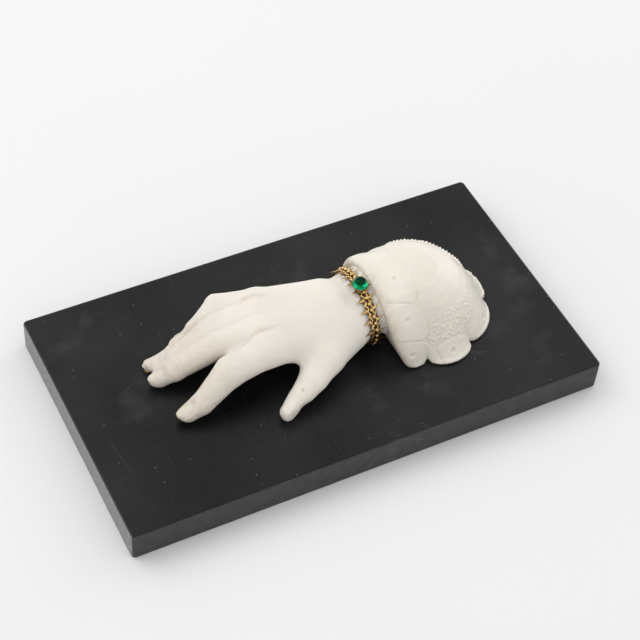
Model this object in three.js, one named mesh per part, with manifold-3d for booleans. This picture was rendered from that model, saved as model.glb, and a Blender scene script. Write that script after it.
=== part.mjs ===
// A paperweight: a lady's right hand with a turned-back lace cuff, carved in alabaster, laid palm down
// on a slab of black marble, with a gilt leaf bracelet and a green glass stone.
// Millimetres, +Z up. The origin is the middle of the slab's underside, +X runs from fingertips to cuff.
import * as THREE from 'three';
import { mergeVertices } from 'three/addons/utils/BufferGeometryUtils.js';
import Module from 'manifold-3d';

const wasm = await Module();
wasm.setup();

// Slab
const slabLength = 200;
const slabWidth = 112;
const slabThickness = 13.5;
const slabArris = 0.7;
const slabCornerRadius = 1.2;

// Where the wrist stands on the slab. Carving sizes below are in the carving's own frame, whose origin is
// on the slab's top under the bracelet: x is the reach to the fingertips, y the thumb side, z the height.
const wristFromSlabMiddle = 18.5;
const wristFromSlabAxis = 0;

// Wrist
const wristSide = -0.8;
const wristWidth = 30.2;
const wristDepth = 22.2;
const wristLift = 2.9;
const wristTenon = 15;
const wristTaper = 0.2;

// Blends of the carving: how softly one form runs into the next
const boneBlend = 1.2;
const closeBlend = 4;
const openBlend = 2.2;
const palmBlend = 6.5;
const rootBlend = 2.5;
const thumbBlend = 5.5;

// Size of the facets that the carved hand is cut into
const handFacet = 2.2;

// Glue under the tips
const glueThickness = 0.5;
const glueRadius = 1.6;
const glueRise = 1;

// A finger is a chain of stations: knuckle, middle joint, end joint and tip, each with the place of its
// middle and its full width and depth. A tip has no height of its own, because it rests on its glue.
const digits = {
  index: [
    { reach: 42.3, side: 8.2, height: 16.4, width: 13.4, depth: 13.5 },
    { reach: 58.9, side: 9.8, height: 13.2, width: 12.7, depth: 10.2 },
    { reach: 72.4, side: 14.3, height: 5.8, width: 9, depth: 7.4 },
    { reach: 80.6, side: 14.8, width: 7.2, depth: 5.4 },
  ],
  middle: [
    { reach: 42.2, side: 0.7, height: 17.8, width: 12.7, depth: 14.1 },
    { reach: 57.7, side: -5.1, height: 12.3, width: 12, depth: 10.9 },
    { reach: 75.6, side: -4.7, height: 6.1, width: 9.3, depth: 7.7 },
    { reach: 84, side: -5, width: 6.4, depth: 5.7 },
  ],
  ring: [
    { reach: 39.4, side: -8.9, height: 17, width: 12.1, depth: 14.1 },
    { reach: 55.6, side: -15.2, height: 11.6, width: 10.3, depth: 9 },
    { reach: 73.2, side: -11.9, height: 5.1, width: 8.1, depth: 6.8 },
    { reach: 82.8, side: -13.4, width: 5, depth: 5 },
  ],
  little: [
    { reach: 36.5, side: -15.5, height: 15.4, width: 10.3, depth: 13.5 },
    { reach: 50.2, side: -23.3, height: 12.9, width: 8.1, depth: 9.1 },
    { reach: 60.6, side: -18.8, height: 8.6, width: 6.2, depth: 7.2 },
    { reach: 69.2, side: -17.8, width: 5.5, depth: 6.2 },
  ],
  thumb: [
    { reach: 9, side: 9.6, height: 12.3, width: 15.2, depth: 16 },
    { reach: 21.3, side: 17.2, height: 11.2, width: 13.9, depth: 13.6 },
    { reach: 29.8, side: 22.6, height: 8.7, width: 11.2, depth: 9.1 },
    { reach: 44.1, side: 30, width: 6.8, depth: 6.2 },
  ],
};

// Heel of the hand: one root for each finger, under the back of the hand near the wrist
const palmRoots = {
  index: { reach: 14, side: 8.9, height: 13.9, width: 15.2, depth: 18.4 },
  middle: { reach: 14, side: 2.9, height: 15.5, width: 13.8, depth: 19 },
  ring: { reach: 14, side: -3.3, height: 15.5, width: 14.1, depth: 19 },
  little: { reach: 14, side: -8.4, height: 14.6, width: 13.3, depth: 17.3 },
};

// Cuff: a bell over the wrist that flares to a lobed hem, domed behind and cut off in front by a swept face
const cuffCrownHeight = 28.4;
const cuffCrownSide = 3.6;
const cuffHemBack = 26.9;
const cuffHemSide = -1.2;
const cuffHemThickness = 1;
const cuffNotchRadius = 27.9;
const cuffSideLobeLength = 12;
const cuffSideLobeDepth = 2.6;
const cuffFlankDepth = 4.4;
const cuffNotchFade = 12;
const cuffShoulder = 3.9;
const cuffFlare = 2.1;
const cuffFrontBack = 4.3;
const cuffFrontSweep = 5.3;
const cuffFrontSweepHeight = 25;
const socketGap = 0.3;
const cementThickness = 0.5;
const cementInset = 3;

// Lobes of the hem, from the one at the back to the one beside the wrist, alike on both sides of the cuff:
// the angle that each takes up and how far it stands out of the circle through the notches
const cuffLobes = [
  { angle: 38, depth: 3.2 },
  { angle: 47.4, depth: 3.4 },
  { angle: 40, depth: 5.2 },
];

// Bracelet
const stripReach = 0.1;
const stripWidth = 4.2;
const stripThickness = 0.5;
const stripGap = 0.3;
const sprigs = 20;
const leafLength = 2.8;
const leafWidth = 2;
const leafThickness = 0.8;
const leafOverlap = 0.9;
const leafSweep = 8;
const leafTilt = 6;
const berryRadius = 0.7;

// Stone and its setting
const stoneTurn = 8;
const stoneDiameter = 6.2;
const stoneFacets = 8;
const stoneGirdle = 0.3;
const stoneCrown = 1.6;
const stoneTable = 3.6;
const stonePavilion = 0.8;
const stoneCulet = 0.8;
const settingGap = 0.3;
const foilThickness = 0.2;
const colletWall = 0.4;
const colletFoot = 4.4;
const colletFloor = 0.4;
const claws = 6;
const clawRadius = 0.35;
const clawStand = 0.1;

const material = (color, roughness, metalness) =>
  new THREE.MeshStandardMaterial({ color, roughness, metalness });
const blackMarble = material(0x1b1b1c, 0.3, 0);
const alabaster = material(0xece6dc, 0.55, 0);
const greyAlabaster = material(0xe4dccf, 0.5, 0);
const gilt = material(0xb8893a, 0.35, 1);
const greenGlass = material(0x0b8a55, 0.05, 0);
const tinFoil = material(0xd9dcdc, 0.25, 1);
const amberGlue = material(0xa9661c, 0.4, 0);
const plaster = material(0xd8d0c0, 0.9, 0);

// Solids: a closed geometry becomes something that can be joined and cut, and comes back as a geometry

function toSolid(geometry) {
  const bare = new THREE.BufferGeometry();
  bare.setAttribute('position', geometry.getAttribute('position').clone());
  if (geometry.index) bare.setIndex(geometry.index.clone());
  const merged = mergeVertices(bare, 1e-4);
  return new wasm.Manifold(new wasm.Mesh({
    numProp: 3,
    vertProperties: merged.getAttribute('position').array,
    triVerts: new Uint32Array(merged.index.array),
  }));
}

function toGeometry(solid) {
  const { vertProperties, triVerts } = solid.getMesh();
  const geometry = new THREE.BufferGeometry();
  geometry.setAttribute('position', new THREE.BufferAttribute(vertProperties, 3));
  geometry.setIndex(new THREE.BufferAttribute(triVerts, 1));
  geometry.computeVertexNormals();
  return geometry;
}

function meshOf(name, geometry, look) {
  const mesh = new THREE.Mesh(geometry, look);
  mesh.name = name;
  return mesh;
}

// Carved hand: bones with an oval section, blended into each other, then cut into facets

const mix = (a, b, t) => a + (b - a) * t;

function softMin(a, b, blend) {
  const overlap = Math.max(blend - Math.abs(a - b), 0) / blend;
  return Math.min(a, b) - overlap * overlap * blend / 4;
}

function stationPoint(station) {
  const height = station.height ?? glueThickness + station.depth / 2;
  return new THREE.Vector3(station.reach, station.side, height);
}

// How far a point lies outside an oval bone between two stations, close to millimetres near its skin
function boneField(from, to) {
  const start = stationPoint(from);
  const span = stationPoint(to).sub(start);
  const along = span.clone().normalize();
  const across = new THREE.Vector3(-along.y, along.x, 0).normalize();
  const upward = new THREE.Vector3().crossVectors(along, across);
  const offset = new THREE.Vector3();
  return (point) => {
    offset.subVectors(point, start);
    const share = THREE.MathUtils.clamp(offset.dot(span) / span.lengthSq(), 0, 1);
    offset.addScaledVector(span, -share);
    const halfWidth = mix(from.width, to.width, share) / 2;
    const halfDepth = mix(from.depth, to.depth, share) / 2;
    const least = Math.min(halfWidth, halfDepth);
    const size = Math.hypot(
      offset.dot(across) / halfWidth,
      offset.dot(upward) / halfDepth,
      offset.dot(along) / least,
    );
    return (size - 1) * least;
  };
}

function joinFields(fields, blend) {
  return (point) => fields.map((field) => field(point)).reduce((a, b) => softMin(a, b, blend));
}

function chainField(stations, blend) {
  return joinFields(stations.slice(1).map((station, i) => boneField(stations[i], station)), blend);
}

const wristMiddle = wristLift + wristDepth / 2;

function wristStation(reach) {
  const narrowed = Math.min(0, reach) * wristTaper;
  return {
    reach,
    side: wristSide,
    height: wristMiddle,
    width: wristWidth + narrowed,
    depth: wristDepth + narrowed,
  };
}

function handField() {
  const fingerNames = Object.keys(palmRoots);
  const wrist = boneField(wristStation(-wristTenon), wristStation(0));
  const palm = fingerNames.map((name) => boneField(palmRoots[name], digits[name][0]));
  const [index, ...closed] = fingerNames.map((name) => chainField(digits[name], boneBlend));
  const thumb = chainField(digits.thumb, boneBlend);
  const body = joinFields([wrist, ...palm], palmBlend);
  const fingers = joinFields([joinFields(closed, closeBlend), index], openBlend);
  return joinFields([joinFields([body, fingers], rootBlend), thumb], thumbBlend);
}

// The skin of a field as a closed surface. Each grid cell that the skin crosses gets one vertex for every
// separate sheet in it, and each crossed grid edge becomes a quad between the four cells round it.
function skinOf(field, box, cell) {
  const counts = box.getSize(new THREE.Vector3()).divideScalar(cell).ceil().addScalar(1);
  const [nx, ny, nz] = counts.toArray();
  const at = (i, j, k) => (k * ny + j) * nx + i;
  const corner = (i, j, k) => new THREE.Vector3(i, j, k).multiplyScalar(cell).add(box.min);
  const values = new Float64Array(nx * ny * nz);
  for (let k = 0; k < nz; k++)
    for (let j = 0; j < ny; j++)
      for (let i = 0; i < nx; i++) values[at(i, j, k)] = field(corner(i, j, k));

  const corners = [0, 1, 2, 3, 4, 5, 6, 7].map((c) => [c & 1, (c >> 1) & 1, c >> 2]);
  const edges = [];
  for (let a = 0; a < 8; a++)
    for (const bit of [1, 2, 4]) if (!(a & bit)) edges.push([a, a | bit]);
  const faces = [];
  for (const bit of [1, 2, 4])
    for (const side of [0, bit])
      faces.push(corners.map((_, c) => c).filter((c) => (c & bit) === side));

  const positions = [];
  const sheets = new Map();
  for (let k = 0; k + 1 < nz; k++)
    for (let j = 0; j + 1 < ny; j++)
      for (let i = 0; i + 1 < nx; i++) {
        const value = corners.map(([x, y, z]) => values[at(i + x, j + y, k + z)]);
        const inside = value.map((v) => v < 0);
        const allEdges = edges.map((_, e) => e);
        const crossed = allEdges.filter((e) => inside[edges[e][0]] !== inside[edges[e][1]]);
        if (!crossed.length) continue;
        const group = [...allEdges];
        const root = (e) => (group[e] === e ? e : root(group[e]));
        for (const face of faces) {
          const onFace = crossed.filter((e) => edges[e].every((c) => face.includes(c)));
          const within = face.filter((c) => inside[c]);
          const pairs = onFace.length === 4
            ? within.map((c) => onFace.filter((e) => edges[e].includes(c)))
            : [onFace];
          for (const [a, b] of pairs) if (b !== undefined) group[root(a)] = root(b);
        }
        const own = new Map();
        for (const e of crossed) {
          const [a, b] = edges[e];
          const share = value[a] / (value[a] - value[b]);
          const from = corner(...corners[a].map((c, n) => c + [i, j, k][n]));
          const to = corner(...corners[b].map((c, n) => c + [i, j, k][n]));
          const list = own.get(root(e)) ?? own.set(root(e), []).get(root(e));
          list.push({ e, point: from.lerp(to, share) });
        }
        for (const list of own.values()) {
          const middle = new THREE.Vector3();
          for (const { point } of list) middle.addScaledVector(point, 1 / list.length);
          for (const { e } of list) sheets.set(at(i, j, k) * 12 + e, positions.length);
          positions.push(settle(field, middle, cell));
        }
      }

  const edgeIndex = (a, b) => edges.findIndex(([c, d]) => c === Math.min(a, b) && d === Math.max(a, b));
  const triangles = [];
  const steps = [[1, 0, 0], [0, 1, 0], [0, 0, 1]];
  for (let k = 1; k + 1 < nz; k++)
    for (let j = 1; j + 1 < ny; j++)
      for (let i = 1; i + 1 < nx; i++)
        steps.forEach(([x, y, z], axis) => {
          const starts = values[at(i, j, k)] < 0;
          if (starts === values[at(i + x, j + y, k + z)] < 0) return;
          const u = 1 << (axis + 1) % 3;
          const v = 1 << (axis + 2) % 3;
          const ring = [0, u, u | v, v].map((low) => {
            const [dx, dy, dz] = corners[low];
            return sheets.get(at(i - dx, j - dy, k - dz) * 12 + edgeIndex(low, low | 1 << axis));
          });
          if (!starts) ring.reverse();
          const shortWay = positions[ring[0]].distanceTo(positions[ring[2]])
            < positions[ring[1]].distanceTo(positions[ring[3]]);
          const [p, q, r, s] = shortWay ? ring : [...ring.slice(1), ring[0]];
          triangles.push(p, q, r, p, r, s);
        });

  const geometry = new THREE.BufferGeometry();
  const spots = positions.flatMap((point) => point.toArray());
  geometry.setAttribute('position', new THREE.Float32BufferAttribute(spots, 3));
  geometry.setIndex(triangles);
  return geometry;
}

// Moves a point that is near a field's skin onto it
function settle(field, point, cell) {
  const step = cell / 20;
  const slope = new THREE.Vector3();
  const probe = new THREE.Vector3();
  const moved = point.clone();
  for (let turn = 0; turn < 4; turn++) {
    const value = field(moved);
    for (const axis of ['x', 'y', 'z']) {
      probe.copy(moved)[axis] += step;
      slope[axis] = (field(probe) - value) / step;
    }
    moved.addScaledVector(slope, -value / Math.max(slope.lengthSq(), 0.1));
    const strayed = moved.distanceTo(point);
    if (strayed > cell / 2) moved.lerp(point, 1 - cell / 2 / strayed);
  }
  return moved;
}

const hand = handField();

function handBox() {
  const box = new THREE.Box3();
  const fingerStations = Object.values(digits).flat();
  const palmStations = Object.values(palmRoots);
  for (const station of [...fingerStations, ...palmStations, wristStation(-wristTenon)]) {
    const point = stationPoint(station);
    const half = Math.max(station.width, station.depth) / 2 + palmBlend / 2;
    box.expandByPoint(point.clone().addScalar(half));
    box.expandByPoint(point.clone().addScalar(-half));
  }
  return box.expandByScalar(handFacet * 2);
}

// Blocks that fill everything behind or ahead of a given reach, across the whole carving
function blockBehind(reach) {
  const far = slabLength;
  return toSolid(new THREE.BoxGeometry(far, far, far).translate(reach - far / 2, 0, 0));
}

function blockAhead(reach) {
  const far = slabLength;
  return toSolid(new THREE.BoxGeometry(far, far, far).translate(reach + far / 2, 0, 0));
}

function handSolid() {
  return toSolid(skinOf(hand, handBox(), handFacet)).subtract(blockBehind(-wristTenon));
}

// Slab

function slabGeometry() {
  const flatLength = slabLength - 2 * slabArris;
  const flatWidth = slabWidth - 2 * slabArris;
  const x = flatLength / 2;
  const y = flatWidth / 2;
  const r = slabCornerRadius;
  const outline = new THREE.Shape();
  outline.moveTo(r - x, -y);
  outline.lineTo(x - r, -y).absarc(x - r, r - y, r, -Math.PI / 2, 0);
  outline.lineTo(x, y - r).absarc(x - r, y - r, r, 0, Math.PI / 2);
  outline.lineTo(r - x, y).absarc(r - x, y - r, r, Math.PI / 2, Math.PI);
  outline.lineTo(-x, r - y).absarc(r - x, r - y, r, Math.PI, 1.5 * Math.PI);
  const geometry = new THREE.ExtrudeGeometry(outline, {
    depth: slabThickness - 2 * slabArris,
    bevelThickness: slabArris,
    bevelSize: slabArris,
    bevelSegments: 2,
    curveSegments: 4,
  });
  return geometry.translate(0, 0, slabArris);
}

// Cuff: meridians run straight in plan from the crown to the hem, or from a ridge ahead of the crown

const hemLobes = [...cuffLobes.slice(1).reverse(), ...cuffLobes];
const hemAngle = hemLobes.reduce((sum, { angle }) => sum + angle, 0);
const cuffCrownReach = -cuffHemBack - cuffNotchRadius * Math.cos(THREE.MathUtils.degToRad(hemAngle / 2));

// How far a lobe stands out of the line through its notches, at a place counted in lobes from its middle
const lobeRise = (place) => Math.sqrt(Math.max(0, 1 - 4 * place * place));

// The meridians in order round the hem: where each starts, where it meets the circle through the notches,
// and how far the flank and the lobe stand out of that circle there. The flank turns into lobes at the hem
function cuffMeridians() {
  const perLobe = 14;
  const meridians = [];
  const addMeridian = (degrees, rise) => {
    const angle = THREE.MathUtils.degToRad(degrees);
    const outward = new THREE.Vector2(-Math.cos(angle), Math.sin(angle));
    meridians.push({
      start: new THREE.Vector2(cuffCrownReach, cuffCrownSide),
      end: new THREE.Vector2(-cuffHemBack, cuffHemSide).addScaledVector(outward, cuffNotchRadius),
      flank: outward.clone().multiplyScalar(cuffFlankDepth),
      lobe: outward.multiplyScalar(rise),
    });
  };
  let notch = -hemAngle / 2;
  for (const { angle, depth } of hemLobes) {
    for (let i = 0; i < perLobe; i++)
      addMeridian(notch + angle * i / perLobe, depth * lobeRise(i / perLobe - 0.5));
    notch += angle;
  }
  addMeridian(notch, 0);
  const corners = [meridians[0], meridians.at(-1)];
  const perSide = 8;
  for (let i = 1; i <= perSide; i++) {
    const ahead = new THREE.Vector2(cuffSideLobeLength * 2 * i / perSide, 0);
    const rise = cuffSideLobeDepth * lobeRise(ahead.x / cuffSideLobeLength - 0.5);
    const [far, near] = corners.map(({ start, end, flank }, side) => ({
      start: start.clone().add(ahead),
      end: end.clone().add(ahead),
      flank,
      lobe: new THREE.Vector2(0, (2 * side - 1) * rise),
    }));
    meridians.unshift(far);
    meridians.push(near);
  }
  return meridians;
}

function domeHeight(share) {
  const rise = Math.pow(1 - Math.pow(share, cuffShoulder), cuffFlare);
  return mix(cementThickness + cuffHemThickness, cuffCrownHeight, rise);
}

function cuffDome() {
  const shares = [1, 0.95, 0.89, 0.82, 0.74, 0.66, 0.57, 0.47, 0.34, 0.16];
  const meridians = cuffMeridians();
  const round = meridians.length;
  const positions = [];
  const triangles = [];
  const addLevel = (share, height) => {
    const notched = Math.pow(share, cuffNotchFade);
    for (const { start, end, flank, lobe } of meridians) {
      const edge = end.clone().add(flank.clone().lerp(lobe, notched));
      const spot = start.clone().lerp(edge, share);
      positions.push(spot.x, spot.y, height);
    }
  };
  addLevel(1, cementThickness);
  for (const share of shares) addLevel(share, domeHeight(share));
  positions.push(cuffCrownReach, cuffCrownSide, cuffCrownHeight);
  positions.push(-cuffHemBack, cuffHemSide, cementThickness);
  const top = (shares.length + 1) * round;
  for (let i = 0; i < round; i++) {
    const next = (i + 1) % round;
    for (let level = 0; level < shares.length; level++) {
      const [a, b] = [level * round + i, level * round + next];
      triangles.push(a, a + round, b, b, a + round, b + round);
    }
    triangles.push(top - round + i, top, top - round + next);
    triangles.push(i, next, top + 1);
  }
  const geometry = new THREE.BufferGeometry();
  geometry.setAttribute('position', new THREE.Float32BufferAttribute(positions, 3));
  geometry.setIndex(triangles);
  return geometry;
}

// Everything ahead of the cuff's front face, which sweeps back towards the slab
function frontBlock(inset) {
  const far = slabLength;
  const top = -cuffFrontBack - inset;
  const foot = top - cuffFrontSweep;
  const outline = new THREE.Shape();
  outline.moveTo(far, -far);
  outline.lineTo(far, far);
  outline.lineTo(top, far);
  outline.lineTo(top, cuffFrontSweepHeight);
  outline.quadraticCurveTo(top, cuffFrontSweepHeight / 2, foot, 0);
  outline.lineTo(foot, -far);
  const block = new THREE.ExtrudeGeometry(outline, {
    depth: 2 * far, bevelEnabled: false, curveSegments: 10 });
  return toSolid(block.translate(0, 0, -far).rotateX(Math.PI / 2));
}

// The room that the hand needs, a given gap larger than the hand, closed at the bottom of its socket
function handRoom(gap) {
  const socketBottom = -wristTenon - cementThickness;
  const skin = skinOf((point) => hand(point) - gap, handBox(), handFacet);
  return toSolid(skin).subtract(blockBehind(socketBottom));
}

function wristCementSolid(room) {
  return room.subtract(blockAhead(-wristTenon));
}

function cuffCementSolid() {
  const outline = new THREE.Shape();
  outline.absarc(-cuffHemBack, cuffHemSide, cuffNotchRadius - cementInset, 0, 2 * Math.PI);
  const bed = new THREE.ExtrudeGeometry(outline, {
    depth: cementThickness, bevelEnabled: false, curveSegments: 24 });
  return toSolid(bed).subtract(frontBlock(cementInset));
}

// Glue: a low dab under each tip, hollowed where the tip sits in it

function dabProfile() {
  const profile = new THREE.Path();
  profile.moveTo(0, 0).lineTo(glueRadius, 0);
  profile.quadraticCurveTo(glueRadius * 0.9, glueRise, 0, glueRise);
  return profile.getPoints(3);
}

function glueSolid(name, room) {
  const tip = digits[name].at(-1);
  const dab = new THREE.LatheGeometry(dabProfile(), 12);
  dab.rotateX(Math.PI / 2).translate(tip.reach, tip.side, 0);
  return toSolid(dab).subtract(room);
}

// Bracelet

const stoneAngle = THREE.MathUtils.degToRad(stoneTurn);

// Distance from the wrist's axis to its skin, in a direction round it, at a given reach
function wristRadius(angle, reach) {
  const middle = new THREE.Vector3(reach, wristSide, wristMiddle);
  const outward = new THREE.Vector3(0, Math.sin(angle), Math.cos(angle));
  const probe = new THREE.Vector3();
  let near = 0;
  let far = wristWidth;
  for (let turn = 0; turn < 30; turn++) {
    const half = (near + far) / 2;
    if (hand(probe.copy(middle).addScaledVector(outward, half)) < 0) near = half;
    else far = half;
  }
  return near;
}

// A point on the strip's inner face, or a given height above it, at a given distance from its middle line
function stripPoint(angle, across, height) {
  const ends = [-1, 0, 1].map((end) => stripReach + end * stripWidth / 2);
  const out = Math.max(...ends.map((end) => wristRadius(angle, end))) + stripGap + height;
  return new THREE.Vector3(
    stripReach + across, wristSide + out * Math.sin(angle), wristMiddle + out * Math.cos(angle));
}

// Angles at equal steps of length round the strip, starting at the stone
function stripAngles(count) {
  const fine = 720;
  const spots = [];
  for (let i = 0; i <= fine; i++) spots.push(stripPoint(stoneAngle + i * 2 * Math.PI / fine, 0, 0));
  const lengths = [0];
  for (let i = 1; i <= fine; i++) lengths.push(lengths[i - 1] + spots[i].distanceTo(spots[i - 1]));
  const angles = [];
  for (let n = 0; n < count; n++) {
    const wanted = lengths[fine] * n / count;
    const i = Math.max(1, lengths.findIndex((length) => length > wanted));
    const share = (wanted - lengths[i - 1]) / (lengths[i] - lengths[i - 1]);
    angles.push(stoneAngle + (i - 1 + share) * 2 * Math.PI / fine);
  }
  return angles;
}

function stripBand() {
  const angles = stripAngles(sprigs * 3);
  const section = [[-1, 0], [1, 0], [1, 1], [-1, 1]];
  const positions = [];
  const triangles = [];
  for (const angle of angles)
    for (const [end, top] of section)
      positions.push(...stripPoint(angle, end * stripWidth / 2, top * stripThickness).toArray());
  for (let i = 0; i < angles.length; i++)
    for (let c = 0; c < 4; c++) {
      const d = (c + 1) % 4;
      const next = (i + 1) % angles.length;
      const [p, q, r, s] = [i * 4 + c, i * 4 + d, next * 4 + d, next * 4 + c];
      triangles.push(p, r, q, p, s, r);
    }
  const band = new THREE.BufferGeometry();
  band.setAttribute('position', new THREE.Float32BufferAttribute(positions, 3));
  band.setIndex(triangles);
  return band;
}

// A leaf with a raised midrib, from its root at the origin along x
function leafGeometry() {
  const leaf = new THREE.OctahedronGeometry(1);
  return leaf.scale(leafLength / 2, leafWidth / 2, leafThickness / 2).translate(leafLength / 2, 0, 0);
}

// Sets a geometry made flat on the strip's outer face: x along the reach, y round the wrist, z outward
function onStrip(geometry, angle) {
  const step = 0.01;
  const round = stripPoint(angle + step, 0, 0).sub(stripPoint(angle - step, 0, 0)).normalize();
  const reach = new THREE.Vector3(1, 0, 0);
  const out = new THREE.Vector3().crossVectors(reach, round);
  const frame = new THREE.Matrix4().makeBasis(reach, round, out);
  frame.setPosition(stripPoint(angle, 0, stripThickness));
  return geometry.applyMatrix4(frame);
}

function braceletSolid() {
  let made = toSolid(stripBand());
  stripAngles(2 * sprigs).forEach((angle, n) => {
    made = made.add(toSolid(onStrip(new THREE.IcosahedronGeometry(berryRadius), angle)));
    if (n % 2) return;
    for (const edge of [0, Math.PI]) {
      const leaf = leafGeometry();
      leaf.rotateY(-THREE.MathUtils.degToRad(leafTilt));
      leaf.rotateZ(edge - THREE.MathUtils.degToRad(leafSweep));
      leaf.translate(Math.cos(edge) * (stripWidth / 2 - leafOverlap), 0, -stripThickness / 2);
      made = made.add(toSolid(onStrip(leaf, angle)));
    }
  });
  return made.subtract(toSolid(colletRoom()));
}

// Setting: heights are counted from the top of the strip, and every profile turns about the upright axis

const stoneRadius = stoneDiameter / 2;
const seatDepth = 2 * settingGap + foilThickness;
const seatHeight = settingGap + colletFloor + stonePavilion;
const girdleHeight = seatHeight + seatDepth;
const rimHeight = girdleHeight + stoneGirdle;
const colletInner = stoneRadius + settingGap;
const colletOuter = colletInner + colletWall;
const settingSegments = 24;

function turned(profile, segments) {
  const points = profile.map(([radius, height]) => new THREE.Vector2(radius, height));
  const geometry = new THREE.LatheGeometry(points, segments);
  return onStrip(geometry.rotateX(Math.PI / 2), stoneAngle);
}

function colletRoom() {
  const foot = colletFoot / 2 + settingGap;
  const rim = colletOuter + settingGap;
  return turned([
    [0, 0], [foot, 0], [foot, settingGap], [rim, seatHeight], [rim, rimHeight], [0, rimHeight],
  ], settingSegments);
}

// The seat under the stone's pavilion, a given distance below it
function pavilionSeat(drop) {
  return [[stoneCulet / 2, girdleHeight - stonePavilion - drop], [stoneRadius, girdleHeight - drop]];
}

function colletSolid() {
  const [culet] = pavilionSeat(seatDepth);
  const body = toSolid(turned([
    [0, settingGap],
    [colletFoot / 2, settingGap],
    [colletOuter, seatHeight],
    [colletOuter, rimHeight],
    [colletInner, rimHeight],
    [colletInner, seatHeight],
    culet,
    [0, culet[1]],
  ], settingSegments));
  const grips = [];
  for (let n = 0; n < claws; n++) {
    const angle = n * 2 * Math.PI / claws;
    const grip = new THREE.IcosahedronGeometry(clawRadius);
    const radius = colletInner + colletWall / 2;
    grip.translate(radius * Math.cos(angle), radius * Math.sin(angle), rimHeight + clawStand);
    grips.push(toSolid(onStrip(grip, stoneAngle)));
  }
  return wasm.Manifold.union([body, ...grips]);
}

function foilGeometry() {
  const [innerCulet, innerGirdle] = pavilionSeat(settingGap);
  const [outerCulet, outerGirdle] = pavilionSeat(settingGap + foilThickness);
  return turned([
    [0, outerCulet[1]], outerCulet, outerGirdle, innerGirdle, innerCulet, [0, innerCulet[1]],
  ], settingSegments);
}

function stoneGeometry() {
  const [culet, girdle] = pavilionSeat(0);
  const top = rimHeight + stoneCrown;
  return turned([
    [0, culet[1]], culet, girdle, [stoneRadius, rimHeight], [stoneTable / 2, top], [0, top],
  ], stoneFacets);
}

const paperweight = new THREE.Group();
const carving = new THREE.Group();
carving.position.set(wristFromSlabMiddle, wristFromSlabAxis, slabThickness);
carving.rotation.z = Math.PI;
paperweight.add(carving);

paperweight.add(meshOf('slab', slabGeometry(), blackMarble));
carving.add(meshOf('hand', toGeometry(handSolid()), alabaster));
const room = handRoom(socketGap);
const cuffSolid = toSolid(cuffDome()).subtract(frontBlock(0)).subtract(room);
carving.add(meshOf('cuff', toGeometry(cuffSolid), greyAlabaster));
carving.add(meshOf('wrist_cement', toGeometry(wristCementSolid(handRoom(-socketGap))), plaster));
carving.add(meshOf('cuff_cement', toGeometry(cuffCementSolid()), plaster));
for (const name of Object.keys(digits))
  carving.add(meshOf(`${name}_glue`, toGeometry(glueSolid(name, room)), amberGlue));
carving.add(meshOf('bracelet_strip', toGeometry(braceletSolid()), gilt));
carving.add(meshOf('stone_collet', toGeometry(colletSolid()), gilt));
carving.add(meshOf('stone_foil', foilGeometry(), tinFoil));
carving.add(meshOf('stone', stoneGeometry(), greenGlass));

export default paperweight;
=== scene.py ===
# %% [markdown]
# # A carved hand on a marble slab
# The object is a paperweight: a lady's right hand in alabaster, with a lace cuff and a gilt bracelet,
# laid palm down on a slab of black marble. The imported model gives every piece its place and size.
# It could all be modelled again here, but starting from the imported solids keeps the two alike, so each
# cell takes a solid, makes its surface finer, and cuts into it what the carver cut.

# %% Load the frame
import math
from collections import namedtuple

import bmesh
import bpy
import numpy as np
from mathutils import Matrix, Vector, kdtree


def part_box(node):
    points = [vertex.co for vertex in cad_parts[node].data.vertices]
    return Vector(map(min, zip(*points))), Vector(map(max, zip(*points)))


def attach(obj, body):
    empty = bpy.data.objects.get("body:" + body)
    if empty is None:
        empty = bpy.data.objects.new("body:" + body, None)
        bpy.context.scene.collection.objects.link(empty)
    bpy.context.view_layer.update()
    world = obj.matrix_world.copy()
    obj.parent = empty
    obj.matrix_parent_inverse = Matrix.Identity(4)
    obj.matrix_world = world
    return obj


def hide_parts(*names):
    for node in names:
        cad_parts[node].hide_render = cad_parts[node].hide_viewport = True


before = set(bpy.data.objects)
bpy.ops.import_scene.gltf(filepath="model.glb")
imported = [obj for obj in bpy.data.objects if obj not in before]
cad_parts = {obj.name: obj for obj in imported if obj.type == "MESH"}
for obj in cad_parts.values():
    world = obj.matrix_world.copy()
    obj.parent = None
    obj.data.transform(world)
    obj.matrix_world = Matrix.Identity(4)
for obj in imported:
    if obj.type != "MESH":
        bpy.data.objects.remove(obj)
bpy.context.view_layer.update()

print("pieces in the frame:", ", ".join(sorted(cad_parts)))

# %% [markdown]
# ## The carving's own frame
# Sizes on the hand are easiest to think about from the wrist: how far a point reaches towards the
# fingertips, how far it lies to the thumb's side, and how high it is above the slab, in millimetres.
# Two small functions go between that and Blender's metres, so every cell below can use plain sizes.

# %% Wrist frame
slab_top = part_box("slab")[1].z * 1000
wrist_along = 18.5
wrist_place = np.array([wrist_along, 0.0, slab_top])
half_turn = np.array([-1.0, -1.0, 1.0])


def to_carving(points):
    return (np.asarray(points) * 1000 - wrist_place) * half_turn


def to_row(points):
    return (np.asarray(points) * half_turn + wrist_place) / 1000


def mesh_points(mesh):
    flat = np.empty(len(mesh.vertices) * 3)
    mesh.vertices.foreach_get("co", flat)
    return to_carving(flat.reshape(-1, 3))


def node_points(node):
    return mesh_points(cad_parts[node].data)


longest_reach = node_points("hand")[:, 0].max()
print("slab top at", round(slab_top, 2), "mm; longest reach", longest_reach.round(1), "mm")

# %% [markdown]
# ## Finishes: a short way to wire nodes
# A finish is a tree of nodes behind one shader. Making each node by hand takes many lines, so one
# function puts a node beside another, sets its values and joins what feeds it. All is measured in
# millimetres from the object's own coordinates, so a grain keeps its size wherever the camera stands.

# %% Node helper


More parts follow.
